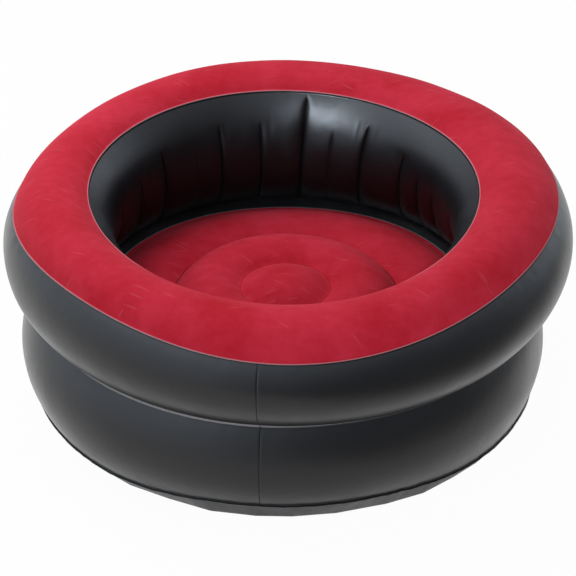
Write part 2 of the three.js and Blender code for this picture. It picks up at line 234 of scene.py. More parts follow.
def bulged(bm, place, bulge, steps):
    """A filled run: it stands out to the left of the way from the last vertex to the place."""
    start = last_vert(bm).co.copy()
    chord = Vector((place.x - start.x, place.y - start.z))
    radius = (chord.length_squared / 4 + bulge * bulge) / (2 * bulge)
    outward = Vector((-chord.y, chord.x)).normalized()
    middle = Vector((start.x, start.z)) + chord / 2 + outward * (bulge - radius)
    turn = 4 * atan(2 * bulge / chord.length)
    bmesh.ops.spin(
        bm, geom=[last_vert(bm)], cent=(middle.x, 0, middle.y), axis=(0, 1, 0), angle=turn, steps=steps,
    )


def fin_tip(seam, degrees, length):
    return seam + length * Vector((cos(radians(degrees)), sin(radians(degrees))))


# %% [markdown]
# The line's length is measured before it is spun, because every copy of a vertex takes its numbers with it. A
# second number marks the welds, where the film is pressed flat; on the black and grey film it sets a painted
# highlight, and on the outer walls that is kept full on the left and at the front, where the light catches the
# fins, and faded elsewhere. A third number marks grooves and creases, where shade is painted.

# %% Spinning a section into a ring
# The painted highlight on the welds: the pale tip of a waist fin, the share taken away on the unlit side, and
# the angles over which the lit side fades in and out.
HIGHLIT_TIP = 0.0031
HIGHLIGHT_FADE = 0.85
LIT_SIDE_START = (-2.8, -2.2)
LIT_SIDE_END = (-0.15, 0.30)


def mark_line(bm, welds):
    """Gives each vertex of the line its distance from the start, and 1 where that lies in a weld.

    The welds follow from the line's length. One at an end reaches 1 m past it, to be sure of the last vertex.
    """
    along = bm.verts.layers.float.new("along")
    weld = bm.verts.layers.float.new("weld")
    bm.verts.layers.float.new("groove")
    bm.verts.ensure_lookup_table()
    length = 0.0
    before = bm.verts[0]
    for vert in bm.verts:
        length += (vert.co - before.co).length
        vert[along] = length
        before = vert
    for vert in bm.verts:
        vert[weld] = float(any(low <= vert[along] <= high for low, high in welds(length)))
    return length


def spin_line(bm):
    """A twelfth of a turn is spun from the line, and the patch is then copied round, which is quick."""
    bmesh.ops.spin(
        bm, geom=bm.verts[:] + bm.edges[:], axis=(0, 0, 1), angle=FULL_TURN / PATCHES, steps=COLUMNS // PATCHES,
    )
    bmesh.ops.spin(
        bm, geom=bm.verts[:] + bm.edges[:] + bm.faces[:], axis=(0, 0, 1),
        angle=FULL_TURN * (PATCHES - 1) / PATCHES, steps=PATCHES - 1, use_duplicate=True,
    )
    bmesh.ops.remove_doubles(bm, verts=bm.verts[:], dist=1e-6)
    bmesh.ops.recalc_face_normals(bm, faces=bm.faces[:])


def reshape(bm, change, seam=None):
    """Moves every vertex by a function of its radius, height, angle from the front and place along the line.

    Where the panel has an upright seam, given by its angle, its groove is marked for painted shade and the
    welds' painted highlight is faded away from the lit left and front.
    """
    along = bm.verts.layers.float["along"]
    weld = bm.verts.layers.float["weld"]
    groove = bm.verts.layers.float["groove"]
    for vert in bm.verts:
        x, y, z = vert.co
        angle = round(atan2(x, -y) / COLUMN) * COLUMN
        radius, height, turned = change(hypot(x, y), z, angle, vert[along])
        if seam is not None:
            # Painted highlight: the welds stay pale on the lit left and front and are dimmed elsewhere.
            lit_side = ease(turned, *LIT_SIDE_START) * (1 - ease(turned, *LIT_SIDE_END))
            vert[weld] *= 1 - HIGHLIGHT_FADE * (1 - lit_side)
            vert[groove] = share(abs(radius * difference(turned, seam)), GROOVE_WIDTH, GROOVE_WIDTH / 4)
        vert.co = settled(radius, height, turned)


def face_out(bm, upside):
    """Turns the faces round unless most of them already look the given way, up or away from the axis."""
    if upside:
        looks = sum(face.normal.z * face.calc_area() for face in bm.faces)
    else:
        looks = sum(face.normal.dot(face.calc_center_median()) for face in bm.faces)
    if looks < 0:
        bmesh.ops.reverse_faces(bm, faces=bm.faces[:])


# %% [markdown]
# A finished mesh becomes an object at the origin. It rides on a body of the CAD model and stands for the CAD
# nodes that it replaces. Film gets its thickness from a Solidify modifier.

# %% Making a piece


def to_mesh(name, bm):
    mesh = bpy.data.meshes.new(name)
    bm.to_mesh(mesh)
    bm.free()
    return mesh


def new_piece(name, bm, nodes=(), body="root", film=None):
    bm.normal_update()
    mesh = to_mesh(name, bm)
    mesh.shade_smooth()
    piece = new_object(name, mesh)
    if film:
        wall = piece.modifiers.new("film", "SOLIDIFY")
        wall.thickness = film
        wall.offset = 0
    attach(piece, body)
    if nodes:
        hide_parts(*nodes)
    print(name, len(mesh.vertices), "vertices", len(mesh.polygons), "faces")
    return piece


# %% [markdown]
# Film is never quite even: it swells a little more here than there, and it puckers where a weld holds it back.
# Perlin noise on the point's own place gives slow swells, and noise on the angle alone gives puckers that run
# straight away from a seam. A term of puckers is their height, how many go round the ring, and a seed.

# %% Swells and puckers
SWELL = 0.0010
SWELL_SIZE = 0.16
PUCKER_START = 0.010
PUCKER_REACH = 0.030
FREE_FILM = 0.030


def swell(radius, height, angle, fade):
    place = Vector((radius * sin(angle), -radius * cos(angle), height)) / SWELL_SIZE
    return SWELL * fade * (noise.noise(place) + 0.5 * noise.noise(2.3 * place))


@cache
def pucker(angle, count, seed):
    """A wavy number round the ring, about -1 to 1, with roughly this many waves."""
    spot = Vector((cos(angle), sin(angle), seed)) * count / pi
    return 1.4 * noise.noise(spot)


def waves(angle, *terms):
    return sum(size * pucker(angle, count, seed) for size, count, seed in terms)


def puckers(distance, angle, *terms, start=PUCKER_START, reach=PUCKER_REACH):
    """The waves beside a seam: none on it, where the weld holds the film flat, and none beyond their reach."""
    return (1 - ease(distance, 0, reach)) * ease(distance, 0, start) * waves(angle, *terms)


# %% [markdown]
# The band of film of a wall is closed by one upright weld. The well wall's is hidden in a deep pleat at the
# back. Those of the outer walls are at the front and draw a fine groove. The columns of the mesh are 5 mm
# apart, too far for a groove, so those near it are drawn together first.

# %% Upright seams
GATHER_REACH = radians(3)
GROOVE_WIDTH = 0.0011
GROOVE_DEPTH = 0.0011
OVERLAP_WIDTH = 0.010
OVERLAP_RISE = 0.0005


def gathered(angle, seam, power=3):
    """Draws the columns near a seam together: their distances from it are raised to a power."""
    off = difference(angle, seam)
    if abs(off) >= GATHER_REACH:
        return angle
    return seam + copysign(GATHER_REACH * (abs(off) / GATHER_REACH) ** power, off)


def seam_step(radius, angle, seam):
    """How far the wall stands out at an upright seam: a groove with an overlap to its right."""
    off = radius * difference(angle, seam)
    groove = GROOVE_DEPTH * max(0.0, 1 - abs(off) / GROOVE_WIDTH)
    overlap = OVERLAP_RISE * (off > 0) * (1 - ease(off, OVERLAP_WIDTH, 1.5 * OVERLAP_WIDTH))
    return overlap - groove


# %% [markdown]
# The flocked ring on top. Its two edges are welds that lie nearly level, with the flocked side up, so they show
# as a fine pale line round both rims.

# %% Flocked ring
RIM_FIN_ANGLE = -8
RIM_WELD = 0.9 * RIM_FIN
CROWN_STEPS = 36
CROWN_FREE = 0.040
CROWN_PUCKERS = ((0.0005, 60, 1.0), (0.0003, 140, 5.0))

inner_fin = fin_tip(RIM_IN, 180 - RIM_FIN_ANGLE, RIM_FIN)
outer_fin = fin_tip(RIM_OUT, RIM_FIN_ANGLE, RIM_FIN)
ring = start_line(inner_fin)
straight(ring, RIM_IN, 2)
bulged(ring, RIM_OUT, CROWN_BULGE, CROWN_STEPS)
straight(ring, outer_fin, 2)
crown_length = mark_line(ring, lambda length: ((-1, RIM_WELD), (length - RIM_WELD, length + 1)))
spin_line(ring)


def crown_shape(radius, height, angle, along):
    from_seam = min(along, crown_length - along) - RIM_FIN
    lift = swell(radius, height, angle, ease(from_seam, 0, CROWN_FREE))
    return radius, height + lift + puckers(from_seam, angle, *CROWN_PUCKERS), angle


reshape(ring, crown_shape)
face_out(ring, True)
new_piece("flocked_ring", ring, ["top_panel"], film=FLOCKED_FILM)

# %% [markdown]
# The outer walls. A flat place at the back of each takes the air valve, so the wall is eased onto a plane round
# the valve's axis, less and less towards the seams, which stay where they are. Then a round hole is opened for
# the valve's neck: whole faces go, and the vertices left inside the circle move out onto it. The valve's flange
# covers the rest.

# %% Valve places
NECK_RISE = 0.0035
NECK_HOLE = 0.0188
FLAT_RADIUS = 0.034
FADE_RADIUS = 0.085
SEAM_FADE = 0.035

valve_places = {}
for level in ("upper", "lower"):
    low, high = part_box(f"{level}_valve_base")
    valve_places[level] = Vector((0, high[1] - NECK_RISE, (low[2] + high[2]) / 2))
print({level: tuple(round(v, 4) for v in place) for level, place in valve_places.items()})


def seat_for_valve(bm, place, start, end):
    """Flattens the free film round the valve, which goes from start to end, and opens the hole for its neck."""
    plane = place.y - PLAIN_FILM / 2
    along = bm.verts.layers.float["along"]
    near_valve = []
    for vert in bm.verts:
        if vert.co.y < 0:
            continue
        away = hypot(vert.co.x, vert.co.z - place.z)
        from_seam = min(vert[along] - start, end - vert[along])
        hold = (1 - ease(away, FLAT_RADIUS, FADE_RADIUS)) * ease(from_seam, 0, SEAM_FADE)
        vert.co.y += hold * (plane - vert.co.y)
        if away < NECK_HOLE:
            near_valve.append(vert)
    inside = set(near_valve)
    gone = [face for face in bm.faces if all(vert in inside for vert in face.verts)]
    bmesh.ops.delete(bm, geom=gone, context="FACES")
    for vert in near_valve:
        if vert.is_valid and vert.link_faces:
            flat = Vector((vert.co.x, vert.co.z - place.z)).normalized() * NECK_HOLE
            vert.co.x, vert.co.z = flat.x, place.z + flat.y
    loose = [vert for vert in bm.verts if not vert.link_faces]
    bmesh.ops.delete(bm, geom=loose, context="VERTS")


# %% [markdown]
# The upper wall starts under the ring's edge, where both films are welded face to face, and ends in the fin at
# the waist. That fin is three films thick, since the deck's edge lies in it.

# %% Upper outer wall
WALL_STEPS = 42
RIM_PUCKERS = (0.0006, 90, 2.0)
UPPER_WAIST_PUCKERS = (0.0007, 70, 3.0)
upper_waist = WAIST + Vector((0, WELD_PITCH))
under_fin = Vector((0, -WELD_PITCH))
wall = start_line(outer_fin + under_fin)
straight(wall, RIM_OUT + under_fin, 2)
bulged(wall, upper_waist, UPPER_BULGE, WALL_STEPS)
straight(wall, fin_tip(upper_waist, 0, WAIST_FIN), 3)
upper_length = mark_line(wall, lambda length: ((-1, RIM_FIN), (length - HIGHLIT_TIP, length + 1)))
spin_line(wall)


def upper_shape(radius, height, angle, along):
    angle = gathered(angle, 0)
    top = along - RIM_FIN
    foot = upper_length - WAIST_FIN - along
    body = ease(min(top, foot), 0, FREE_FILM)
    out = swell(radius, height, angle, body) + body * seam_step(radius, angle, 0)
    out += UPPER_LEAN * sin(angle - CAMERA_TURN) * sin(pi * share(foot, 0, foot + top))
    out += puckers(top, angle, RIM_PUCKERS) + puckers(foot, angle, UPPER_WAIST_PUCKERS)
    return radius + out, height, angle


reshape(wall, upper_shape, 0)
face_out(wall, False)
seat_for_valve(wall, valve_places["upper"], RIM_FIN, upper_length - WAIST_FIN)
new_piece("upper_wall", wall, ["upper_outer_wall"], film=PLAIN_FILM)

# %% [markdown]
# The lower wall ends in a weld with the base sheet. That fin is narrow and unsupported, so it ruffles. Both
# layers share one wave, or they would pass through each other.

# %% Lower outer wall
RUFFLES = ((0.00098, 46, 7.0), (0.0007, 120, 9.0))
LOWER_WAIST_PUCKERS = (0.0006, 70, 3.0)
BASE_PUCKERS = (0.0008, 100, 4.0)


def ruffle(angle, out):
    """The height that the base fin gains at a place this far out along it."""
    return waves(angle, *RUFFLES) * ease(out, 0, BASE_FIN)


lower_waist = WAIST - Vector((0, WELD_PITCH))
base_top = BASE_SEAM + Vector((0, WELD_PITCH / 2))
wall = start_line(fin_tip(lower_waist, FIN_DROOP, WAIST_FIN))
straight(wall, lower_waist, 3)
bulged(wall, base_top, LOWER_BULGE, WALL_STEPS)
straight(wall, fin_tip(base_top, FIN_DROOP, BASE_FIN), 4)
lower_length = mark_line(wall, lambda length: ((-1, HIGHLIT_TIP),))
spin_line(wall)


def lower_shape(radius, height, angle, along):
    angle = gathered(angle, 0)
    top = along - WAIST_FIN
    foot = lower_length - BASE_FIN - along
    body = ease(min(top, foot), 0, FREE_FILM)
    out = swell(radius, height, angle, body) + body * seam_step(radius, angle, 0)
    out += puckers(top, angle, LOWER_WAIST_PUCKERS) + puckers(foot, angle, BASE_PUCKERS)
    return radius + out, height + ruffle(angle, -foot), angle


reshape(wall, lower_shape, 0)
face_out(wall, False)
seat_for_valve(wall, valve_places["lower"], WAIST_FIN, lower_length - BASE_FIN)
new_piece("lower_wall", wall, ["lower_outer_wall"], film=PLAIN_FILM)

# %% [markdown]
# The base sheet is cut from stiff film and turned up at its edge, which it can only do in flat facets. Its line
# on the floor is therefore a polygon. The corners that the photo shows are listed by angle from the camera's
# side, and the hidden ones go on at about the same pitch.

# %% Base sheet
SEEN_CORNERS = (
    (-76, 0.484), (-64, 0.481), (-46.4, 0.4753), (-39.2, 0.4755), (-28.7, 0.4700), (-17.6, 0.4746),
    (-6.9, 0.4721), (1.6, 0.4710), (12.0, 0.4700), (24.3, 0.4715), (34.1, 0.4762), (43.7, 0.4732),
    (51.8, 0.4756), (62, 0.480), (73.9, 0.483), (84, 0.480),
)
HIDDEN_CORNERS = tuple(
    (angle, 0.476 + 0.005 * noise.noise(Vector((angle, 3.5, 0.5)))) for angle in range(95, 280, 13)
)
FACETS_FROM = 0.350
FINE_FROM = 0.420
CRUMPLES = (0.0012, 80, 6.0)
corners = [(radians(angle) + CAMERA_TURN, radius) for angle, radius in SEEN_CORNERS + HIDDEN_CORNERS]


@cache
def polygon_radius(angle):
    """How far the straight edge between two corners lies from the middle, in the given direction."""
    for i, (start, one) in enumerate(corners):
        end, other = corners[(i + 1) % len(corners)]
        width = (end - start) % FULL_TURN
        part = (angle - start) % FULL_TURN
        if part <= width:
            return one * other * sin(width) / (one * sin(part) + other * sin(width - part))
    return BASE_RADIUS


base_bottom = BASE_SEAM - Vector((0, WELD_PITCH / 2))
floor_line = PLAIN_FILM / 2
sheet = start_line(fin_tip(base_bottom, FIN_DROOP, BASE_FIN))
straight(sheet, base_bottom, 4)
straight(sheet, Vector((BASE_RADIUS, floor_line)), 10)
straight(sheet, Vector((FINE_FROM, floor_line)), 4)
straight(sheet, Vector((0, floor_line)), 8)
mark_line(sheet, lambda length: ((-1, BASE_FIN * 0.99),))
spin_line(sheet)


def sheet_shape(radius, height, angle, along):
    rise = share(height, floor_line, base_bottom.y)
    turned = (1 - rise) * ease(radius, FACETS_FROM, BASE_RADIUS)
    radius += turned * (polygon_radius(angle) - BASE_RADIUS)
    crumple = sin(pi * rise) * waves(angle, CRUMPLES)
    return radius + crumple, height + ruffle(angle, BASE_FIN - along), angle


reshape(sheet, sheet_shape)
face_out(sheet, False)
new_piece("base", sheet, ["base_sheet"], film=PLAIN_FILM)

# %% [markdown]
# The well wall. It is cut to the length of the rim but welded to a smaller circle at its foot, so the spare
# length gathers into upright pleats: a sharp narrow valley in a wide soft hollow, with the film full between
# them. Each is listed with its direction from the back as the camera sees it, its depth in millimetres and how
# far down the wall it starts. It runs on to the foot. The front half is hidden, and its pleats follow the same
# spacing. Short faint creases fan out beside most valleys. Going down, the pleats lean towards the middle of
# the back, where one stands upright. Shares are parts of a pleat's depth and runs are parts of the wall's
# height: a fan's four say where it starts, is full, starts to fade and ends.

# %% Pleats
SEEN_PLEATS = (
    (-85, 5.0, 0.42), (-72, 6.5, 0.38), (-57, 7.0, 0.32), (-44, 8.0, 0.24), (-31, 1.8, 0.34),
    (-21.5, 6.5, 0.20), (-8, 5.5, 0.22), (5.4, 8.0, 0.02), (15, 2.5, 0.26), (26, 7.5, 0.16), (42, 7.0, 0.26),
    (51, 6.0, 0.34), (60, 6.0, 0.40), (75, 6.5, 0.40), (87, 5.0, 0.44),
)
HIDDEN_PLEATS = tuple(
    (angle + 4 * noise.noise(Vector((angle, 0.5, 0.5))), 4.5 + 2 * noise.noise(Vector((0.5, angle, 0.5))), 0.36)
    for angle in range(100, 272, 13)
)
VALLEY_SHARE = 1.1
VALLEY_WIDTH = 0.0028
VALLEY_RUN = 0.10
HOLLOW_SHARE = 0.6
HOLLOW_WIDTH = 0.018
HOLLOW_RUN = 0.40
FOOT_SHARE = 0.5
FOOT_RUN = 0.10
PLEAT_REACH = 4 * GATHER_REACH
PLEAT_LEAN = radians(12)
UPRIGHT_PLEAT = radians(-8)
FAN_FROM = 0.10
FAN_COLUMNS = (-5, -3, 3, 6)
FAN_SHARE = 0.16
FAN_RUN = (-0.02, 0.04, 0.06, 0.20)
FULLNESS = 0.0016
FULL_SPAN = (0.3, 0.6)

pleats = []
for seen, depth, start in SEEN_PLEATS + HIDDEN_PLEATS:
    turned = round((pi - radians(seen) + CAMERA_TURN) / COLUMN) * COLUMN
    pleats.append((turned, depth * MILLIMETRE, start, None))
    for side in FAN_COLUMNS if start > FAN_FROM else ():
        aside = round(side * (1 + 0.5 * noise.noise(Vector((seen, side, 0.5))))) * COLUMN
        fan = [start + run for run in FAN_RUN]
        pleats.append((turned + aside, FAN_SHARE * depth * MILLIMETRE, start, fan))
print(len(pleats), "pleats and fan creases")


@cache
def pleats_near(angle):
    """The angle, drawn to a valley where one is close, and the pleats near it with their distances."""
    for valley, _, _, fan in pleats:
        if not fan:
            angle = gathered(angle, valley, 2)
    offs = [(abs(difference(angle, valley)), *rest) for valley, *rest in pleats]
    return angle, [pleat for pleat in offs if pleat[0] < PLEAT_REACH]


def pleated(radius, angle, down):
    """How far the film stands back from the well, and the angle with the columns drawn to the valleys."""
    back = 0.0
    drawn, close = pleats_near(angle)
    for off, depth, start, fan in close:
        reach = radius * off
        narrow = exp(-reach / VALLEY_WIDTH)
        if fan:
            back += depth * ease(down, fan[0], fan[1]) * (1 - ease(down, fan[2], fan[3])) * narrow
            continue
        valley = VALLEY_SHARE * ease(down, start, start + VALLEY_RUN) * narrow
        hollow = HOLLOW_SHARE * ease(down, start, start + HOLLOW_RUN) * exp(-((reach / HOLLOW_WIDTH) ** 2))
        back += depth * (1 - FOOT_SHARE * ease(down, 1 - FOOT_RUN, 1)) * (valley + hollow)
    return back - FULLNESS * ease(down, *FULL_SPAN), drawn


# %% [markdown]
# The wall starts with its lap on the deck and ends under the ring's inner edge. It swells into the well a
# little more on both sides than at the back.

# %% Well wall
SIDE_SWELL = 0.012
SIDE_SWELL_SPAN = (0.30, 0.75, 1.0)
WELL_TOP_PUCKERS = (0.0005, 80, 8.0)
WELL_STEPS = 44

deck_slope = (WAIST - WELL).normalized()
deck_up = Vector((-deck_slope.y, deck_slope.x))
well_foot = WELL + deck_up * WELD_PITCH
wall = start_line(well_foot + deck_slope * LAP)
straight(wall, well_foot, 2)
bulged(wall, RIM_IN + under_fin, WELL_BULGE, WELL_STEPS)
straight(wall, inner_fin + under_fin, 2)
well_length = mark_line(wall, lambda length: ((-1, 0.9 * LAP), (length - RIM_FIN, length + 1)))
spin_line(wall)


def well_shape(radius, height, angle, along):
    up = share(along, LAP, well_length - RIM_FIN)
    back, angle = pleated(radius, angle, 1 - up)
    back += swell(radius, height, angle, ease(min(up, 1 - up), 0, 0.1))
    low, most, high = SIDE_SWELL_SPAN
    swollen = ease(up, low, most) * (1 - ease(up, most, high))
    back -= SIDE_SWELL * sin(angle - CAMERA_TURN) ** 2 * swollen
    back += puckers(well_length - RIM_FIN - along, angle, WELL_TOP_PUCKERS)
    angle += PLEAT_LEAN * (0.5 - up) * sin(pi + CAMERA_TURN - angle - UPRIGHT_PLEAT)
    return radius + back * ease(up, 0, 0.03), height, angle


reshape(wall, well_shape)
face_out(wall, False)
bmesh.ops.reverse_faces(wall, faces=wall.faces[:])
new_piece("well_wall", wall, ["inner_wall"], film=PLAIN_FILM)

# %% [markdown]
# The deck is the film between the two rings. Only a narrow sloping band of it shows, round the seat, lightly
# puckered between the welds of the seat and the well wall.

# %% Deck
DECK_PUCKERS = ((0.0008, 60, 11.0), (0.0005, 130, 12.0))
DECK_FREE = (0.008, 0.006)

deck = start_line(SEAT_EDGE - Vector((LAP, 0)))
straight(deck, SEAT_EDGE, 3)
straight(deck, WELL, 8)
straight(deck, WAIST, 8)
straight(deck, WAIST + Vector((WAIST_FIN, 0)), 2)
mark_line(deck, lambda length: ((-1, LAP), (length - WAIST_FIN, length + 1)))
spin_line(deck)


def deck_shape(radius, height, angle, along):
    inner, outer = DECK_FREE
    band = ease(radius, SEAT_EDGE.x, SEAT_EDGE.x + inner) * (1 - ease(radius, WELL.x - outer, WELL.x))
    return radius, height + band * waves(angle, *DECK_PUCKERS), angle


reshape(deck, deck_shape)
face_out(deck, True)
new_piece("deck", deck, ["deck_panel"], film=PLAIN_FILM)

# %% [markdown]
# The seat is one flocked disc, held down by two bands inside along two round creases. Between them the air
# lifts it into a middle cushion, a ring and a sloping rim.

# %% Section of the seat
CREASE_WELD = 0.004
# How much painted shade the flock gets at each crease weld.
CREASE_SHADE = ((INNER_CREASE, 0.4), (OUTER_CREASE, 0.9))
SEAT_STEPS = (14, 26, 22)

lap_height = SEAT_EDGE.y + WELD_PITCH
middle = Vector((0, INNER_CREASE.y + SEAT_DOME_BULGE))
half_weld = Vector((CREASE_WELD / 2, 0))
dome_radius = (INNER_CREASE.x - half_weld.x) ** 2 / (2 * SEAT_DOME_BULGE) + SEAT_DOME_BULGE / 2
seat = start_line(middle)
bmesh.ops.spin(
    seat, geom=[last_vert(seat)], cent=(0, 0, middle.y - dome_radius), axis=(0, 1, 0),
    angle=asin((INNER_CREASE.x - half_weld.x) / dome_radius), steps=SEAT_STEPS[0],
)
straight(seat, INNER_CREASE + half_weld, 2)
bulged(seat, OUTER_CREASE - half_weld, SEAT_RING_BULGE, SEAT_STEPS[1])
straight(seat, OUTER_CREASE + half_weld, 2)
bulged(seat, Vector((SEAT_EDGE.x - LAP, lap_height)), SEAT_RIM_BULGE, SEAT_STEPS[2])
straight(seat, Vector((SEAT_EDGE.x, lap_height)), 3)
mark_line(seat, lambda length: ())
groove = seat.verts.layers.float["groove"]
for crease, shade_share in CREASE_SHADE:
    for vert in seat.verts:
        if abs(vert.co.x - crease.x) < half_weld.x / 2:
            vert[groove] = shade_share
spin_line(seat)

# %% [markdown]
# The creases pull in short radial wrinkles, and sitting has left a few longer ones. Those are listed by the
# angle and radius of both ends and by their depth in millimetres.

# %% Seat
SEAT_WRINKLES = (
    (-62, 0.250, -55, 0.325, 1.2), (-70, 0.246, -66, 0.318, 1.0), (-50, 0.262, -47, 0.330, 0.8),
    (-97, 0.250, -92, 0.300, 0.7), (66, 0.246, 60, 0.305, 0.8), (160, 0.150, 168, 0.205, 0.5),
    (-150, 0.130, -158, 0.200, 0.5), (95, 0.125, 101, 0.190, 0.6), (-35, 0.120, -42, 0.186, 0.5),
)
WRINKLE_WIDTH = 0.004
SEAT_FREE = 0.020
OUTER_PUCKERS = (0.0011, 70, 20.0)
INNER_PUCKERS = (0.0009, 34, 21.0)
EDGE_PUCKERS = (0.0009, 90, 22.0)


def on_seat(angle, radius):
    turned = radians(angle) + CAMERA_TURN
    return Vector((radius * sin(turned), -radius * cos(turned)))


wrinkles = [(on_seat(a, r), on_seat(b, s), depth * MILLIMETRE) for a, r, b, s, depth in SEAT_WRINKLES]


def wrinkle_depth(spot):
    """How deep the listed wrinkles cut at a place seen from above: each is a dent along a short line."""
    depth = 0.0
    for start, end, deepest in wrinkles:
        run = end - start
        part = min(1.0, max(0.0, (spot - start).dot(run) / run.length_squared))
        away = (spot - start - part * run).length
        if away < 3 * WRINKLE_WIDTH:
            depth += deepest * sin(pi * (0.1 + 0.8 * part)) * exp(-((away / WRINKLE_WIDTH) ** 2))
    return depth


def seat_shape(radius, height, angle, along):
    from_inner = abs(radius - INNER_CREASE.x) - CREASE_WELD / 2
    from_outer = abs(radius - OUTER_CREASE.x) - CREASE_WELD / 2
    from_edge = SEAT_EDGE.x - LAP - radius
    body = ease(min(from_inner, from_outer, from_edge), 0, SEAT_FREE)
    lift = swell(radius, height, angle, body)
    lift += puckers(from_outer, angle, OUTER_PUCKERS, start=0.008, reach=0.035)
    lift += puckers(from_inner, angle, INNER_PUCKERS, start=0.006, reach=0.025)
    lift += puckers(from_edge, angle, EDGE_PUCKERS, start=0.008)
    lift -= body * wrinkle_depth(Vector((radius * sin(angle), -radius * cos(angle))))
    return radius, height + lift, angle


reshape(seat, seat_shape)
face_out(seat, True)
new_piece("seat", seat, ["seat_panel"], film=FLOCKED_FILM)

# %% [markdown]
# The two air valves. Each is a welded base with a short neck, a ring that carries the cap's strap, a large plug
# for letting the air out fast, a small one-way flap for pumping up, and a cap. They are moulded, so each is a
# turned shape with a few blocks, and every sharp edge gets a small round.

# %% Moulded shapes
TURN_STEPS = 96
EDGE_ROUND = 0.2
SHARP = radians(35)


def round_edges(bm, edges, size=EDGE_ROUND):
    sharp = [edge for edge in edges if edge.is_manifold and edge.calc_face_angle() > SHARP]
    bmesh.ops.bevel(bm, geom=sharp, offset=size, affect="EDGES", segments=2, profile=0.5, material=-1)


def add_turned(bm, outline, steps=TURN_STEPS):
    """Adds a body turned about Z. The outline is (radius, height), closed on itself or from axis to axis."""
    part = bmesh.new()
    verts = [part.verts.new((radius, 0, height)) for radius, height in outline]
    on_axis = outline[0][0] == 0
    for start, end in zip(verts, verts[1:] if on_axis else verts[1:] + verts[:1]):
        part.edges.new((start, end))
    bmesh.ops.spin(
        part, geom=part.verts[:] + part.edges[:], axis=(0, 0, 1), angle=FULL_TURN, steps=steps, use_merge=True,
    )
    bmesh.ops.remove_doubles(part, verts=part.verts[:], dist=1e-4)
    bmesh.ops.recalc_face_normals(part, faces=part.faces[:])
    round_edges(part, part.edges)
    merge_into(bm, part)


def add_block(bm, low, high, turn=0.0, size=EDGE_ROUND):
    part = bmesh.new()
    low, high = Vector(low), Vector(high)
    span = high - low
    shape = Matrix.Translation((low + high) / 2) @ Matrix.Diagonal((*span, 1))
    bmesh.ops.create_cube(part, size=1, matrix=Matrix.Rotation(turn, 4, "Z") @ shape)
    round_edges(part, part.edges, size)
    merge_into(bm, part)


def merge_into(bm, part):
    mesh = to_mesh("part", part)
    bm.from_mesh(mesh)
    bpy.data.meshes.remove(mesh)


# %% [markdown]
# The valve's own Z points out of the wall, with zero on the wall's outer face, and its sizes are millimetres.
# One matrix turns and scales a finished shape to its place on the wall.

# %% Valve shapes


def valve_base(bm):
    add_turned(bm, (
        (15.5, -18), (18.2, -18), (18.2, 0.3), (27, 0.3), (27, 1.1), (25.2, 1.3), (24.6, 1.7), (23.8, 1.7),
        (23.2, 1.5), (20, 1.8), (18.2, 3.5), (15.5, 3.5),
    ))


def strap_ring(bm):
    add_turned(bm, ((15.5, 3.8), (22, 3.8), (22, 4.9), (15.5, 4.9)))
    add_block(bm, (-5, -27.3, 3.8), (5, -21.5, 4.9))
    add_block(bm, (-5, -27.3, 3.8), (5, -25.3, 8.5))


def plug(bm):
    add_turned(bm, (
        (10.5, -16), (14.8, -16), (15.2, -15), (15.2, -9.2), (14.6, -8.8), (14.6, -7.8), (15.2, -7.4),
        (15.2, 5.2), (21, 5.2), (21, 7), (16.2, 7), (15.9, 6.7), (15.2, 6.7), (14.9, 7), (12, 7), (12, -15),
        (10.5, -15),
    ))
    add_turned(bm, ((2.2, -16), (4, -16), (4, -14), (2.2, -14)), steps=48)
    for i in range(4):
        add_block(bm, (3.6, -0.8, -15.9), (11.2, 0.8, -14.6), turn=i * pi / 2)


def check_flap(bm):
    add_turned(bm, (
        (0, -17.5), (13.6, -17.3), (13.6, -16.5), (1.9, -16.3), (1.9, -10.7), (3.2, -10.7), (3.2, -10.3),
        (2.2, -9.9), (0, -9.9),
    ), steps=64)


def cap(bm):
    add_turned(bm, (
        (0, 7.3), (9.5, 7.3), (9.5, 3.3), (11.4, 3.3), (11.6, 3.8), (11.6, 7.3), (15, 7.3), (15, 8.9),
        (12.9, 8.9), (12.3, 8.5), (0, 8.5),
    ))
    add_block(bm, (-5, -25, 7.3), (5, -13.6, 8.4))
    add_block(bm, (-6, 13.6, 7.3), (6, 20, 8.8), size=0.6)
    for i in range(3):
        add_block(bm, (-4.4, 15.9 + 1.3 * i, 8.5), (4.4, 16.5 + 1.3 * i, 9.05))


# %% [markdown]
# Both chambers have the same valve. The ring rides on the plug and the cap on a body of its own. On the real
# valve a strap holds them together, so nothing is lost when the plug is pulled.

# %% Valves on the walls
VALVE_PIECES = (
    ("valve_base", valve_base, "valve_plastic", "root"),
    ("strap_ring", strap_ring, "valve_plastic", "plug"),
    ("plug", plug, "valve_plastic", "plug"),
    ("check_flap", check_flap, "flap_rubber", "flap"),
    ("cap", cap, "valve_plastic", "cap"),
)

for level, place in valve_places.items():
    onto_wall = Matrix.Translation(place) @ Matrix.Rotation(-pi / 2, 4, "X") @ Matrix.Scale(MILLIMETRE, 4)
    for part_name, make, slot, body in VALVE_PIECES:
        shape = bmesh.new()
        make(shape)
        bmesh.ops.transform(shape, matrix=onto_wall, verts=shape.verts[:])
        carrier = body if body == "root" else f"{level}_{body}"
        piece = new_piece(f"{level}_{part_name}_fine", shape, [f"{level}_{part_name}"], carrier)
        piece.data.set_sharp_from_angle(angle=SHARP)

# %% [markdown]
# A material is a small graph. Each node is added with its settings and its inputs. An input is a number or a
# colour, an output of another node, or the other node itself, which stands for its first output.

# %% Node helpers


def feed(node, inputs):
    for name, value in inputs.items():
        if isinstance(value, bpy.types.Node):
            value = next(socket for socket in value.outputs if socket.enabled)
        if isinstance(value, bpy.types.NodeSocket):
            node.id_data.links.new(value, node.inputs[name])
        else:
            node.inputs[name].default_value = value


def add(tree, kind, inputs=None, **settings):
    node = tree.nodes.new(kind)
    for name, value in settings.items():
        setattr(node, name, value)
    feed(node, inputs or {})
    return node


def empty_tree(owner):
    owner.use_nodes = True
    owner.node_tree.nodes.clear()
    return owner.node_tree


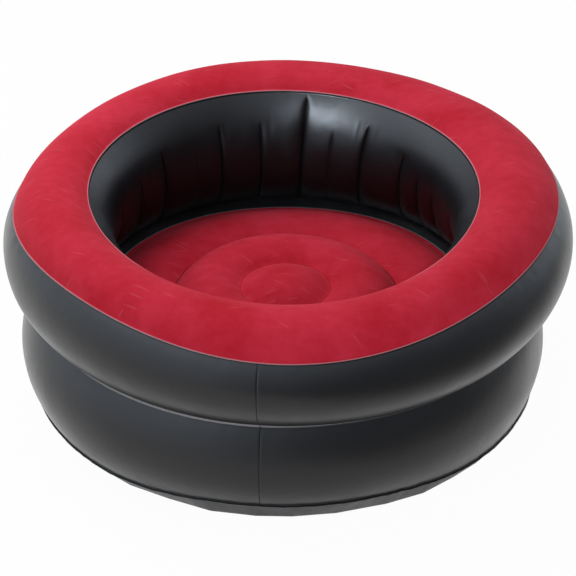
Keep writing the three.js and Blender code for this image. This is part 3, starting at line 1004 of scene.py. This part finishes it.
def new_material(name, values):
    """A material with one Principled shader on its output, and the object's own coordinates at hand."""
    material = bpy.data.materials.new(name)
    tree = empty_tree(material)
    shader = add(tree, "ShaderNodeBsdfPrincipled", values)
    add(tree, "ShaderNodeOutputMaterial", {"Surface": shader})
    return material, tree, shader, add(tree, "ShaderNodeTexCoord").outputs["Object"]


def marked(tree, name):
    """The number of this name that every vertex of the mesh carries."""
    return add(tree, "ShaderNodeAttribute", attribute_name=name).outputs["Fac"]


def mixed(tree, factor, low, high):
    """One colour at 0 and the other at 1."""
    return add(tree, "ShaderNodeMix", {"Factor": factor, "A": low, "B": high}, data_type="RGBA")


def maths(tree, operation, *numbers):
    return add(tree, "ShaderNodeMath", dict(enumerate(numbers)), operation=operation)


def noisy(tree, place, scale, detail, **more):
    """A noise texture with roughly this many waves to the metre and this many finer layers."""
    return add(tree, "ShaderNodeTexNoise", {"Vector": place, "Scale": scale, "Detail": detail, **more})


def use(material, *names):
    for name in names:
        mesh = bpy.data.objects[name].data
        mesh.materials.clear()
        mesh.materials.append(material)
    print(material.name, "on", ", ".join(names))


# %% [markdown]
# Film is smooth but never optically flat. A group makes its surface once, for the black walls and for the grey
# base: slow smears in the gloss from handling, and two sizes of ripple for a Bump node.

# %% Film surface group
tree = film_group = bpy.data.node_groups.new("film_surface", "ShaderNodeTree")
tree.interface.new_socket("Place", in_out="INPUT", socket_type="NodeSocketVector")
for label, way in (("Shiniest", "INPUT"), ("Dullest", "INPUT"), ("Roughness", "OUTPUT"), ("Height", "OUTPUT")):
    tree.interface.new_socket(label, in_out=way, socket_type="NodeSocketFloat")
source = add(tree, "NodeGroupInput").outputs
place = source["Place"]
smears = noisy(tree, place, 7.0, 5.0, Roughness=0.6, Distortion=0.6)
gloss = add(tree, "ShaderNodeMapRange", {
    "Value": smears, "From Min": 0.3, "From Max": 0.7,
    "To Min": source["Shiniest"], "To Max": source["Dullest"],
})
heights = maths(tree, "MULTIPLY_ADD", noisy(tree, place, 900.0, 1.0), 0.12, noisy(tree, place, 60.0, 2.0))
add(tree, "NodeGroupOutput", {"Roughness": gloss, "Height": heights})

# %% [markdown]
# Both films use the group. Their welds carry a painted highlight, pale where the light catches the fin edges,
# and a groove gets painted shade: dark and dull, where little light gets in.

# %% Black and grey film
# The painted shade of a groove.
GROOVE_SHADE = (0.002, 0.002, 0.003, 1)


def film_material(name, colour, weld_highlight, specular, shiniest, dullest, relief):
    material, tree, shader, place = new_material(name, {"IOR": 1.45, "Specular IOR Level": specular})
    surface = add(
        tree, "ShaderNodeGroup", {"Place": place, "Shiniest": shiniest, "Dullest": dullest},
        node_tree=film_group,
    ).outputs
    # The weld mark mixes in the painted highlight and the groove mark the painted shade.
    groove = marked(tree, "groove")
    tint = mixed(tree, marked(tree, "weld"), (*colour, 1), (*weld_highlight, 1))
    feed(shader, {
        "Base Color": mixed(tree, groove, tint, GROOVE_SHADE),
        "Roughness": add(tree, "ShaderNodeMix", {"Factor": groove, "A": surface["Roughness"], "B": 1.0}),
        "Normal": add(tree, "ShaderNodeBump", {
            "Strength": relief, "Distance": 0.001, "Height": surface["Height"],
        }),
    })
    return material


# The third colour of each film is the painted highlight on its welds.
black_film = film_material("black_film", (0.006, 0.006, 0.007), (0.40, 0.40, 0.42), 0.35, 0.32, 0.42, 0.3)
grey_film = film_material("grey_film", (0.012, 0.012, 0.014), (0.16, 0.16, 0.16), 0.22, 0.42, 0.58, 0.5)
use(black_film, "upper_wall", "lower_wall", "well_wall", "deck")
use(grey_film, "base")

# %% [markdown]
# Flock is a pile of short upright fibres. Wherever something has brushed it, the pile leans and looks lighter
# or darker. So the red has large soft patches, finer mottling and brush streaks. Sheen gives the velvet's light
# edge.

# %% Flock: patches, mottling and streaks
flock, tree, shader, place = new_material("red_flock", {
    "Roughness": 0.9, "Specular IOR Level": 0.10, "Sheen Weight": 0.10, "Sheen Roughness": 0.5,
    "Sheen Tint": (1.0, 0.45, 0.5, 1),
})
patches = noisy(tree, place, 7.0, 3.0, Distortion=0.7)
mottle = noisy(tree, place, 42.0, 4.0, Roughness=0.6)
lay = add(tree, "ShaderNodeMapping", {"Vector": place, "Rotation": (0, 0, 0.6), "Scale": (18, 90, 18)})
streaks = noisy(tree, lay, 1.0, 3.0, Distortion=0.4)
two = maths(tree, "MULTIPLY_ADD", mottle, 0.5, patches)
three = maths(tree, "MULTIPLY_ADD", streaks, 0.2, two)
pile = add(tree, "ShaderNodeMapRange", {"Value": three, "From Min": 0.62, "From Max": 1.08})
red = mixed(tree, pile, (0.48, 0.010, 0.025, 1), (0.60, 0.028, 0.058, 1))

# %% [markdown]
# A few pale scuffs lie across it in two directions. Each is one stretched cell of a Voronoi pattern, picked by
# its random colour and faded towards its edge.

# %% Flock: scuffs
SCUFFS = ((0.35, 0.040), (-0.5, 0.055))
SLIMNESS = 12

scuffs = 0.0
for turn, cell in SCUFFS:
    stroke = add(tree, "ShaderNodeMapping", {
        "Vector": place, "Rotation": (0, 0, turn), "Scale": (cell, cell / SLIMNESS, cell),
    }, vector_type="TEXTURE")
    cells = add(tree, "ShaderNodeTexVoronoi", {"Vector": stroke, "Scale": 1.0}).outputs
    lot = add(tree, "ShaderNodeSeparateColor", {"Color": cells["Color"]}).outputs["Red"]
    chosen = maths(tree, "GREATER_THAN", lot, 0.965)
    thin = add(tree, "ShaderNodeMapRange", {"Value": cells["Distance"], "From Min": 0.42, "From Max": 0.18})
    mark = maths(tree, "MULTIPLY", chosen, thin)
    scuffs = maths(tree, "MAXIMUM", scuffs, mark)
faint = maths(tree, "MULTIPLY", scuffs, 0.22)
scuffed = mixed(tree, faint, red, (0.70, 0.16, 0.20, 1))

# %% [markdown]
# The creases of the seat get painted shade, and the welds of the rims are pale. The walls of the well mirror
# the seat only faintly, so mirrored rays see it darker too, a painted dimming of its reflection. The fibres
# themselves are a fine bump.

# %% Flock: creases, welds and fibres
# Painted shade: the creases darken the red, and mirrored rays see it darker too, which dims the seat's
# reflection.
mirrored = add(tree, "ShaderNodeLightPath").outputs["Is Glossy Ray"]
deepest = maths(tree, "MULTIPLY_ADD", mirrored, 0.55, marked(tree, "groove"))
shaded_red = mixed(tree, deepest, scuffed, (0.10, 0.001, 0.004, 1))
fibres = noisy(tree, place, 1100.0, 2.0)
feed(shader, {
    "Base Color": mixed(tree, marked(tree, "weld"), shaded_red, (0.62, 0.20, 0.24, 1)),
    "Normal": add(tree, "ShaderNodeBump", {"Strength": 0.5, "Distance": 0.0006, "Height": fibres}),
})
use(flock, "flocked_ring", "seat")

# %% [markdown]
# The valve is polyethylene: smooth, with the faint orange-peel skin of a polished mould. Its flap is soft pale
# rubber that lets some light through. The bands inside are the same film as the walls.

# %% Valve plastic, rubber and the bands inside
moulded, tree, shader, place = new_material("valve_plastic", {"Base Color": (0.02, 0.02, 0.022, 1), "IOR": 1.5})
skin = noisy(tree, place, 700.0, 2.0)
haze = noisy(tree, place, 90.0, 3.0)
feed(shader, {
    "Roughness": add(tree, "ShaderNodeMapRange", {
        "Value": haze, "From Min": 0.3, "From Max": 0.7, "To Min": 0.26, "To Max": 0.38,
    }),
    "Normal": add(tree, "ShaderNodeBump", {"Strength": 0.15, "Distance": 0.0003, "Height": skin}),
})

rubber, tree, shader, place = new_material("flap_rubber", {
    "Roughness": 0.55, "IOR": 1.45, "Subsurface Weight": 0.25, "Subsurface Scale": 0.004,
})
cloud = noisy(tree, place, 160.0, 3.0)
feed(shader, {"Base Color": mixed(tree, cloud, (0.52, 0.52, 0.48, 1), (0.66, 0.66, 0.62, 1))})

for level in valve_places:
    use(moulded, *(f"{level}_{name}_fine" for name in ("valve_base", "strap_ring", "plug", "cap")))
    use(rubber, f"{level}_check_flap_fine")
use(black_film, "outer_tie_band", "inner_tie_band")

# %% [markdown]
# Light. The chair was shot in a white studio, with a large soft light above and behind on the left. Its film
# mirrors more of the room: bluish panels on the left, a darker corner on the right, a bright ceiling and a
# window. So the world is plain white to the camera, lights the chair softly, and shows this room only to
# reflections. Each part of it is a direction, the cosines between which its edge fades in, and a strength.

# %% World
WHITE = (1, 1, 1, 1)
SOFT_LIGHT = 0.48
ROOM_COLOUR = (0.80, 0.89, 1, 1)
ROOM = {
    "panels": ((-0.93, -0.36, 0.17), 0.3, 0.95, 2.3),
    "corner": ((0.80, -0.58, 0.10), 0.4, 0.9, 0.50),
    "ceiling": ((0, 0, 1), 0.3, 0.65, 2.0),
    "window": ((0.50, 0.80, 0.30), 0.7, 0.95, 2.0),
}


def towards(tree, place, direction, low, high, start, end):
    """A number that goes from start to end as a place lies further in a direction, between low and high."""
    dot = add(tree, "ShaderNodeVectorMath", {0: place, 1: direction}, operation="DOT_PRODUCT").outputs["Value"]
    return add(tree, "ShaderNodeMapRange", {
        "Value": dot, "From Min": low, "From Max": high, "To Min": start, "To Max": end,
    }, interpolation_type="SMOOTHSTEP")


world = bpy.data.worlds.new("studio")
bpy.context.scene.world = world
tree = empty_tree(world)
ray = add(tree, "ShaderNodeTexCoord").outputs["Generated"]
strength = 1.0
for direction, low, high, bright in ROOM.values():
    part = towards(tree, ray, Vector(direction).normalized(), low, high, 1.0, bright)
    strength = maths(tree, "MULTIPLY", strength, part)
soft = add(tree, "ShaderNodeBackground", {"Color": WHITE, "Strength": SOFT_LIGHT})
white = add(tree, "ShaderNodeBackground", {"Color": WHITE, "Strength": 1.0})
room = add(tree, "ShaderNodeBackground", {"Color": ROOM_COLOUR, "Strength": strength})
path = add(tree, "ShaderNodeLightPath").outputs
mirrored = add(tree, "ShaderNodeMixShader", {0: path["Is Glossy Ray"], 1: soft, 2: room})
clear = maths(tree, "MAXIMUM", path["Is Camera Ray"], path["Is Transmission Ray"])
result = add(tree, "ShaderNodeMixShader", {0: clear, 1: mirrored, 2: white})
add(tree, "ShaderNodeOutputWorld", {"Surface": result})
print("room", ", ".join(ROOM))

# %% [markdown]
# Three lamps. The soft light above gives the shadow, and a weak one in front lifts the walls. A card with a
# narrow beam gives the well wall its highlight. It hangs above the rim, clear of the outer wall's side.

# %% Lamps
BACK_WALL = (0.05, 0.38, 0.41)


def area_light(name, place, aimed_at, size, watts, colour=(1, 1, 1)):
    data = bpy.data.lights.new(name, "AREA")
    data.shape = "DISK"
    data.size = size
    data.energy = watts
    data.color = colour
    lamp = new_object(name, data)
    turn = (Vector(place) - Vector(aimed_at)).to_track_quat("Z", "Y").to_matrix().to_4x4()
    lamp.matrix_world = Matrix.Translation(place) @ turn
    print(name, watts, "W")
    return lamp


area_light("top_light", (-1.35, 0.75, 2.75), CHAIR_MIDDLE, 2.2, 44)
area_light("front_fill", (0.6, -2.9, 1.3), CHAIR_MIDDLE, 1.5, 12).visible_glossy = False
card = area_light("window_card", (-0.28, -0.50, 0.78), BACK_WALL, 0.95, 1.8, (0.78, 0.88, 1.0))
card.data.shape = "ELLIPSE"
card.data.size_y = 0.42
card.data.spread = radians(40)
card.visible_camera = False
card.visible_diffuse = False

# %% [markdown]
# The floor is a sheet of white paper. The photograph's is pure white, with hardly a shadow, so the camera sees
# mostly its glow. Mirrored rays see it glow too, less on the side where the room is darker.

# %% Floor
FLOOR_SIDE = 12
SEEN_GLOW = 0.97
MIRRORED_GLOW = 0.85
DARKER_SIDE = (0.85, -0.53, 0)

floor_bm = bmesh.new()
bmesh.ops.create_grid(floor_bm, x_segments=1, y_segments=1, size=FLOOR_SIDE / 2)
floor = new_object("floor", to_mesh("floor", floor_bm))

paper = bpy.data.materials.new("white_paper")
tree = empty_tree(paper)
path = add(tree, "ShaderNodeLightPath").outputs
place = add(tree, "ShaderNodeTexCoord").outputs["Object"]
around = towards(tree, place, DARKER_SIDE, 0.55, 1.15, 1.6, 0.35)
strength = add(tree, "ShaderNodeMix", {"Factor": path["Is Glossy Ray"], "A": 1.0, "B": around})
glow = add(tree, "ShaderNodeEmission", {"Color": WHITE, "Strength": strength})
matt = add(tree, "ShaderNodeBsdfDiffuse", {"Color": (0.86, 0.86, 0.86, 1)})
mirrored = maths(tree, "MULTIPLY", path["Is Glossy Ray"], MIRRORED_GLOW)
seen = maths(tree, "MULTIPLY_ADD", path["Is Camera Ray"], SEEN_GLOW, mirrored)
result = add(tree, "ShaderNodeMixShader", {0: seen, 1: matt, 2: glow})
add(tree, "ShaderNodeOutputMaterial", {"Surface": result})
use(paper, "floor")

bpy.context.scene.view_settings.view_transform = "Standard"
